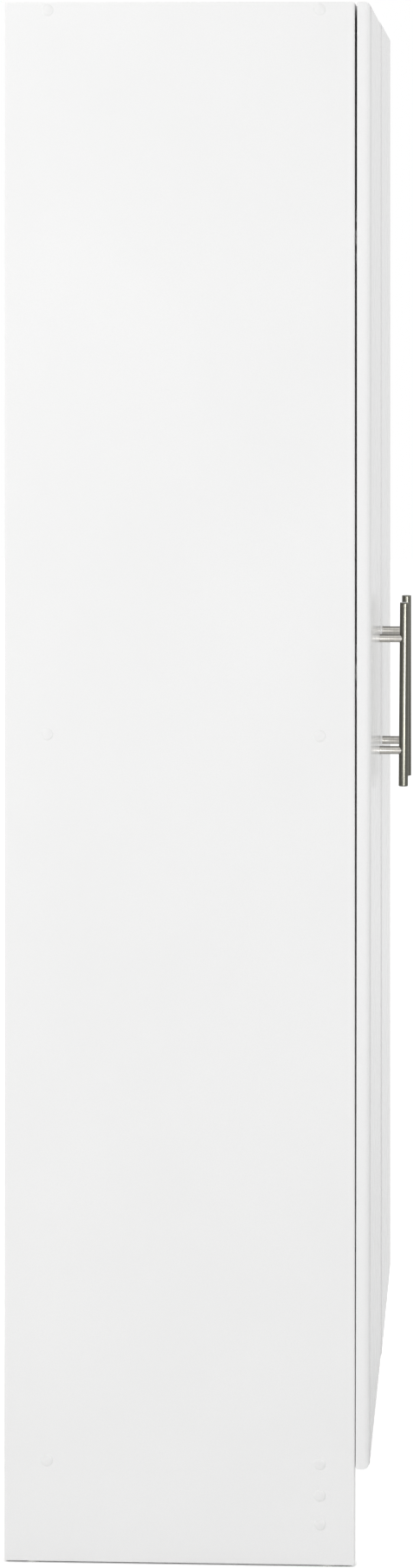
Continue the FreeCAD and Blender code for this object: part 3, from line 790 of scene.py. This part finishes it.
def board_finish(looks):
    """Satin white laminate with a fine pearl, over chip board that shows raw at the rear edges."""
    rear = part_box("top_panel")[1].y - RAW_EDGE_DEPTH
    made = Finish("white_board", {"Specular IOR Level": looks.laminate_gloss})
    faces_back = made.calc("GREATER_THAN", made.part("Normal", ALONG_Y), FACES_BACK)
    at_rear = made.calc("GREATER_THAN", made.part("Object", ALONG_Y), rear)
    raw = made.times(faces_back, at_rear)
    cloud = made.times(made.noise(per_metre=5), made.noise(per_metre=800))
    white = made.mix(made.spread(cloud, 0, 1, *CLOUD_SPAN), looks.board_shade, looks.board)
    chip = made.spread(made.cells(per_metre=420), 0, 1, *CHIP_SPAN)
    chip_relief = made.times(raw, made.cells(per_metre=420, output="Distance"))
    sheen = made.around(made.noise(per_metre=70), looks.board_roughness, swing=0.04)
    pearl = made.noise(per_metre=1100, detail=3)
    return made.link(
        Base_Color=made.mix(raw, white, made.mix(chip, looks.chip_shade, looks.chip)),
        Roughness=made.plus(sheen, made.times(raw, looks.raw_roughness)),
        Normal=made.bump(made.plus(pearl, chip_relief), depth=0.00006, strength=0.35))


def door_finish(looks):
    """Smoother white laminate with a trace of orange peel, duller round its edges."""
    made = Finish("white_door", {"Specular IOR Level": looks.laminate_gloss})
    cloud = made.times(made.noise(per_metre=4), made.noise(per_metre=600))
    sheen = made.around(made.noise(per_metre=50), looks.door_roughness, swing=0.03)
    facing = made.calc("ABSOLUTE", made.part("Normal", ALONG_Y))
    dull_edge = made.spread(facing, looks.edge_roughness, 0, *DOOR_EDGE_SPAN)
    peel = made.plus(made.noise(per_metre=260), made.times(made.noise(per_metre=1500), FINE_PEEL_SHARE))
    return made.link(
        Base_Color=made.mix(made.spread(cloud, 0, 1, *CLOUD_SPAN), looks.door_shade, looks.door),
        Roughness=made.plus(sheen, dull_edge),
        Normal=made.bump(peel, depth=0.00001, strength=0.08))


def backing_finish(looks):
    """Thin hardboard: white paint inside; behind, bare brown fibres with the print of a wire screen."""
    low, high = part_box("left_back_panel")
    made = Finish("backing_board", {})
    bare = made.calc("GREATER_THAN", made.part("Object", ALONG_Y), (low.y + high.y) / 2)
    fibres = made.noise(per_metre=500, stretch=(1, 1, 0.35), detail=4)
    brown = made.mix(made.spread(fibres, 0, 1, *FIBRE_SPAN), looks.hardboard_shade, looks.hardboard)
    white = made.mix(made.noise(per_metre=6), looks.board_shade, looks.board)
    sheen = made.around(made.noise(per_metre=90), looks.backing_roughness, swing=0.04)
    wires = made.times(made.wave("X", scale=170), made.wave("Z", scale=170))
    relief = made.plus(made.times(wires, bare), made.noise(per_metre=900))
    return made.link(
        Base_Color=made.mix(bare, white, brown),
        Roughness=made.plus(sheen, made.times(bare, looks.bare_roughness)),
        Normal=made.bump(relief, depth=0.00015, strength=0.4))


def nickel_finish(name, tone, shade, roughness, lines):
    """Brushed nickel; its brush lines run round the piece, so they are close together along it."""
    made = Finish(name, {"Metallic": 1.0})
    fine = made.noise(per_metre=2600, stretch=lines, detail=3)
    brush = made.times(fine, made.noise(per_metre=700, stretch=lines))
    return made.link(
        Base_Color=made.mix(made.spread(brush, 0, 1, *STROKE_SPAN), shade, tone),
        Roughness=made.around(brush, roughness, swing=-0.005, span=SHEEN_SPAN),
        Normal=made.bump(brush, depth=0.00001, strength=0.01))


def hinge_finish(looks):
    """Plated pressed steel with soft patches and fine drawing lines."""
    made = Finish("hinge_steel", {"Metallic": 1.0})
    patches = made.times(made.noise(per_metre=180), made.noise(per_metre=1800, stretch=(1, 1, 0.08)))
    return made.link(
        Base_Color=made.mix(made.spread(patches, 0, 1, *STROKE_SPAN), looks.hinge_shade, looks.hinge),
        Roughness=made.around(patches, looks.hinge_roughness, swing=-0.05, span=STROKE_SPAN),
        Normal=made.bump(patches, depth=0.00003, strength=0.3))


def zinc_finish(looks):
    """Zinc plate with small grains of its own tone."""
    made = Finish("zinc_steel", {"Metallic": 1.0})
    flakes = made.cells(per_metre=1400)
    return made.link(
        Base_Color=made.mix(made.spread(flakes, 0, 1, *FLAKE_SPAN), looks.zinc_shade, looks.zinc),
        Roughness=made.around(flakes, looks.zinc_roughness, swing=0.07, span=FLAKE_SPAN),
        Normal=made.bump(made.noise(per_metre=1200), depth=0.00003, strength=0.3))


def plastic_finish(name, tone, shade, roughness):
    """Moulded plastic with faint clouding and a fine mould grain."""
    made = Finish(name, {})
    cloud = made.noise(per_metre=150)
    return made.link(
        Base_Color=made.mix(made.spread(cloud, 0, 1, *NOISE_SPAN), shade, tone),
        Roughness=made.around(cloud, roughness, swing=0.05),
        Normal=made.bump(made.noise(per_metre=2400), depth=0.00003, strength=0.3))


def bumper_finish(looks):
    """Clear soft pads, a little cloudy."""
    made = Finish("clear_bumper", {
        "Transmission Weight": looks.bumper_clearness, "IOR": CLEAR_PLASTIC_IOR})
    cloud = made.noise(per_metre=400)
    return made.link(
        Base_Color=made.mix(cloud, looks.cap_shade, looks.bumper),
        Roughness=made.around(cloud, looks.bumper_roughness, swing=0.075))


def beech_finish(looks):
    """Bare beech with short flecks along the grain."""
    made = Finish("dowel_wood", {})
    fibres = made.noise(per_metre=300, stretch=(1, 1, 0.1), detail=3)
    grain = made.times(fibres, made.noise(per_metre=1500, stretch=(1, 1, 0.15)))
    return made.link(
        Base_Color=made.mix(made.spread(grain, 0, 1, *GRAIN_SPAN), looks.beech_shade, looks.beech),
        Roughness=made.around(grain, looks.beech_roughness, swing=-0.075, span=GRAIN_SPAN),
        Normal=made.bump(grain, depth=0.0001, strength=0.3))


def make_finishes(looks):
    """One finish for each material slot of the record, under its name, and a lighter copy of the nickel for the
    posts: on one metal, the bars' darker nickel is painted shade and the posts' lighter nickel painted light.
    """
    board_finish(looks)
    door_finish(looks)
    backing_finish(looks)
    # Two copies of one nickel: darker on the bars as painted shade, lighter on the posts as painted light
    nickel_finish("brushed_nickel", looks.nickel, looks.nickel_shade, looks.nickel_roughness, ROUND_A_BAR)
    nickel_finish(
        "post_nickel", looks.post_nickel, looks.post_nickel_shade, looks.post_roughness, ROUND_A_POST)
    hinge_finish(looks)
    zinc_finish(looks)
    plastic_finish("white_cap", looks.cap, looks.cap_shade, looks.cap_roughness)
    plastic_finish("glide_plastic", looks.glide, looks.glide_shade, looks.glide_roughness)
    bumper_finish(looks)
    beech_finish(looks)


# Studio


def by_ray(finish, light, gloss, white):
    """A strength for each kind of ray: for light, for a gloss, and for the camera and clear pieces."""
    ray = finish.rays()
    unseen = finish.spread(ray["Is Glossy Ray"], light, gloss, 0, 1)
    seen = finish.calc("MAXIMUM", ray["Is Camera Ray"], ray["Is Transmission Ray"])
    return finish.spread(seen, unseen, white, 0, 1)


def uncovered(finish):
    """1 on the open floor and 0 under the side panels, by how far a point lies outside a panel along its axes;
    the lost glow there is painted shade over the real shadow.
    """
    low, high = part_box("left_side_panel")
    middle, half = (low + high) / 2, (high - low) / 2
    across = finish.calc("ABSOLUTE", finish.part("Object", ALONG_X))
    along = finish.part("Object", ALONG_Y)
    outside = []
    for place, centre, reach in ((across, -middle.x, half.x), (along, middle.y, half.y)):
        aside = finish.calc("ABSOLUTE", finish.calc("SUBTRACT", place, centre))
        outside.append(finish.calc("SUBTRACT", aside, reach))
    return finish.spread(finish.calc("MAXIMUM", *outside), 0, 1, -PANEL_FOOT_BLUR, PANEL_FOOT_BLUR)


def painted_floor_shade(finish, studio, distance):
    """How much painted shade a gloss sees on the floor: by its direction from the left door's foot, and less
    far away.
    """
    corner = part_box("left_door")[0]
    door_foot = (corner.x / 2, corner.y, CAD_BOX[0].z)
    way = finish.vector("NORMALIZE", finish.vector("SUBTRACT", finish.source["Object"], door_foot))
    towards = finish.vector("DOT_PRODUCT", way, FRONT_RIGHT, output="Value")
    dim = finish.spread(towards, 0, 1 - studio.floor_dim, *FLOOR_SHADE_SPAN)
    return finish.times(dim, finish.spread(distance, 1, 0, *FLOOR_SHADE_REACH))


def floor_finish(studio):
    """A pale floor that shows part of its white of itself, so that only shadows are grey."""
    finish = Finish("floor", {
        "Roughness": studio.floor_roughness, "Specular IOR Level": 0.0, "Emission Color": WHITE})
    finish.material.cycles.emission_sampling = "NONE"
    distance = finish.vector("LENGTH", finish.source["Object"], output="Value")
    haze = finish.spread(distance, 0, studio.floor_haze, studio.floor_near, studio.floor_far)
    gloss_shade = painted_floor_shade(finish, studio, distance)
    gloss = finish.times(finish.plus(haze, studio.floor_gloss), finish.calc("SUBTRACT", 1.0, gloss_shade))
    # The floor's white glow is taken away under the side panels: painted shade there, over their real shadow
    glow = finish.times(finish.plus(haze, studio.floor_glow), uncovered(finish))
    ray = finish.rays()
    # In a gloss the floor is painted dark towards the front right of the left door's foot: painted shade in
    # reflections
    unseen = finish.mix(finish.times(ray["Is Glossy Ray"], gloss_shade), studio.floor, BLACK)
    return finish.link(
        Base_Color=finish.mix(ray["Is Camera Ray"], unseen, studio.floor_seen),
        Emission_Strength=by_ray(finish, 0, gloss, glow))


def lay_floor(scene, studio):
    """A square floor at the foot of the cupboard."""
    half = studio.floor_size / 2
    line = np.linspace(-half, half, FLOOR_LINES)
    x, y = np.meshgrid(line, line, indexing="ij")
    points, quads = patch(np.stack([x, y, np.full(x.shape, CAD_BOX[0].z)], -1))
    mesh = bpy.data.meshes.new("floor")
    mesh.from_pydata(points.tolist(), [], quads.tolist())
    mesh.materials.append(floor_finish(studio))
    floor = bpy.data.objects.new("floor", mesh)
    scene.collection.objects.link(floor)


def light_all_round(scene, studio):
    """An even sky for light, white where it is seen; a gloss sees some sides of the room dim or bright."""
    scene.world = bpy.data.worlds.new("studio")
    room = Finish("studio", {"Color": WHITE}, scene.world, "Background")
    gloss = studio.gloss
    for side in ROOM_SIDES:
        towards = room.vector("DOT_PRODUCT", room.source["Generated"], side.way, output="Value")
        gloss = room.times(gloss, room.spread(towards, 1, side.brightness, *side.span))
    room.link(Strength=by_ray(room, studio.sky, gloss, 1.0))


def hang_lamp(scene, name, lamp, watts):
    """A soft lamp that looks at its target; it lights the piece, or else shows in its gloss alone."""
    light = bpy.data.lights.new(name, "AREA")
    light.shape = "RECTANGLE"
    light.size, light.size_y = lamp.size
    light.energy = watts
    fixture = bpy.data.objects.new(name, light)
    fixture.location = lamp.place
    fixture.rotation_euler = (Vector(lamp.target) - Vector(lamp.place)).to_track_quat("-Z", "Y").to_euler()
    fixture.visible_camera = False
    fixture.visible_glossy = lamp.for_gloss
    fixture.visible_diffuse = not lamp.for_gloss
    scene.collection.objects.link(fixture)


def stand_camera(scene, studio):
    """The photograph's camera: almost square on to the left side, with the frame shifted."""
    lens = bpy.data.cameras.new("camera")
    lens.sensor_width = SENSOR_SIDE
    lens.lens = studio.lens
    lens.shift_x, lens.shift_y = studio.shift
    level = math.cos(studio.camera_tilt)
    view = Vector((level * math.cos(studio.camera_turn), level * math.sin(studio.camera_turn),
                   math.sin(studio.camera_tilt)))
    camera = bpy.data.objects.new("camera", lens)
    camera.location = studio.camera_place
    camera.rotation_euler = view.to_track_quat("-Z", "Y").to_euler()
    scene.collection.objects.link(camera)
    scene.camera = camera


# Operators


class CUPBOARD_OT_finishes(bpy.types.Operator):
    """Gives every CAD piece the finish of its material slot"""

    bl_idname = "cupboard.finishes"
    bl_label = "Finish the boards and fittings"

    def execute(self, context):
        for node in frame["nodes"].values():
            node.data.materials.clear()
        bpy.data.batch_remove(bpy.data.materials)
        make_finishes(context.scene.cupboard_looks)
        for name, node in frame["nodes"].items():
            node.data.materials.append(bpy.data.materials[SLOT_OF[name]])
        return {"FINISHED"}


class CUPBOARD_OT_doors(bpy.types.Operator):
    """Draws the two slab doors with rounded edges and hinge recesses"""

    bl_idname = "cupboard.doors"
    bl_label = "Make the doors"

    def execute(self, context):
        sizes = context.scene.cupboard_sizes
        left = door_patches(*corners_of("left_door"), hinge_heights(), sizes)
        for side, straight in zip(SIDES, (left, mirrored(left))):
            door = f"{side}_door"
            new_piece(f"{side}_door_slab", hung(straight, side, sizes), door, "white_door", door)
        return {"FINISHED"}


class CUPBOARD_OT_handles(bpy.types.Operator):
    """Draws the two bar handles on their posts"""

    bl_idname = "cupboard.handles"
    bl_label = "Make the handles"

    def execute(self, context):
        sizes = context.scene.cupboard_sizes
        for side in SIDES:
            bar, posts = [hung(patches, side, sizes) for patches in handle_patches(side, sizes)]
            new_piece(f"{side}_bar", bar, f"{side}_door", "brushed_nickel", f"{side}_handle_bar")
            # The posts take the lighter copy of the nickel, painted light
            new_piece(f"{side}_posts", posts, f"{side}_door", "brushed_nickel", f"{side}_handle_posts",
                      finish="post_nickel")
        return {"FINISHED"}


class CUPBOARD_OT_caps(bpy.types.Operator):
    """Draws the domed cover caps and the soft door pads"""

    bl_idname = "cupboard.caps"
    bl_label = "Make the cover caps and pads"

    def execute(self, context):
        sizes = context.scene.cupboard_sizes
        faces = {"left_screw_caps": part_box("left_side_panel")[0].x,
                 "right_screw_caps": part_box("right_side_panel")[1].x,
                 "partition_screw_caps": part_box("partition")[1].x}
        for node, face in faces.items():
            caps = cap_patches(node, face, sizes)
            new_piece(node.replace("screw_", "cover_"), caps, "carcass", "white_cap", node)
        new_piece("door_pads", pad_patches(sizes), "carcass", "clear_bumper", "door_bumpers")
        return {"FINISHED"}


class CUPBOARD_OT_screws(bpy.types.Operator):
    """Draws the screws with their cross recesses, and the nails of the back panels"""

    bl_idname = "cupboard.screws"
    bl_label = "Make the screws and nails"

    def execute(self, context):
        sizes = context.scene.cupboard_sizes
        for node, axes, facing, body in screw_sets():
            screws = screw_patches(node, axes, facing, sizes)
            new_piece(f"crossed_{node}", screws, body, "zinc_steel", node)
        new_piece("flat_back_nails", nail_patches(sizes), "carcass", "zinc_steel", "back_nails")
        return {"FINISHED"}


class CUPBOARD_OT_studio(bpy.types.Operator):
    """Sets up the floor, the light all round, the lamps and the camera"""

    bl_idname = "cupboard.studio"
    bl_label = "Set up the studio"

    def execute(self, context):
        scene = context.scene
        studio = scene.cupboard_studio
        scene.view_settings.view_transform = "Standard"
        lay_floor(scene, studio)
        light_all_round(scene, studio)
        for name, lamp in LAMPS.items():
            hang_lamp(scene, name, lamp, getattr(studio, name))
        stand_camera(scene, studio)
        return {"FINISHED"}


# Panel and registration


class CUPBOARD_PT_panel(bpy.types.Panel):
    """Lists the steps that dress the cupboard"""

    bl_label = "Broom cupboard"
    bl_idname = "CUPBOARD_PT_panel"
    bl_space_type = "VIEW_3D"
    bl_region_type = "UI"
    bl_category = "Cupboard"

    def draw(self, context):
        for step in STEPS:
            self.layout.operator(step.bl_idname)


GROUPS = {"cupboard_sizes": CupboardSizes, "cupboard_looks": CupboardLooks, "cupboard_studio": CupboardStudio}
STEPS = (CUPBOARD_OT_finishes, CUPBOARD_OT_doors, CUPBOARD_OT_handles, CUPBOARD_OT_caps,
         CUPBOARD_OT_screws, CUPBOARD_OT_studio)
CLASSES = (*GROUPS.values(), *STEPS, CUPBOARD_PT_panel)


def register():
    for kind in CLASSES:
        bpy.utils.register_class(kind)
    for name, group in GROUPS.items():
        setattr(bpy.types.Scene, name, PointerProperty(type=group))


def unregister():
    for name in GROUPS:
        delattr(bpy.types.Scene, name)
    for kind in reversed(CLASSES):
        bpy.utils.unregister_class(kind)


def main():
    register()
    bpy.ops.cupboard.finishes()
    bpy.ops.cupboard.doors()
    bpy.ops.cupboard.handles()
    bpy.ops.cupboard.caps()
    bpy.ops.cupboard.screws()
    bpy.ops.cupboard.studio()


if __name__ == "__main__":
    main()
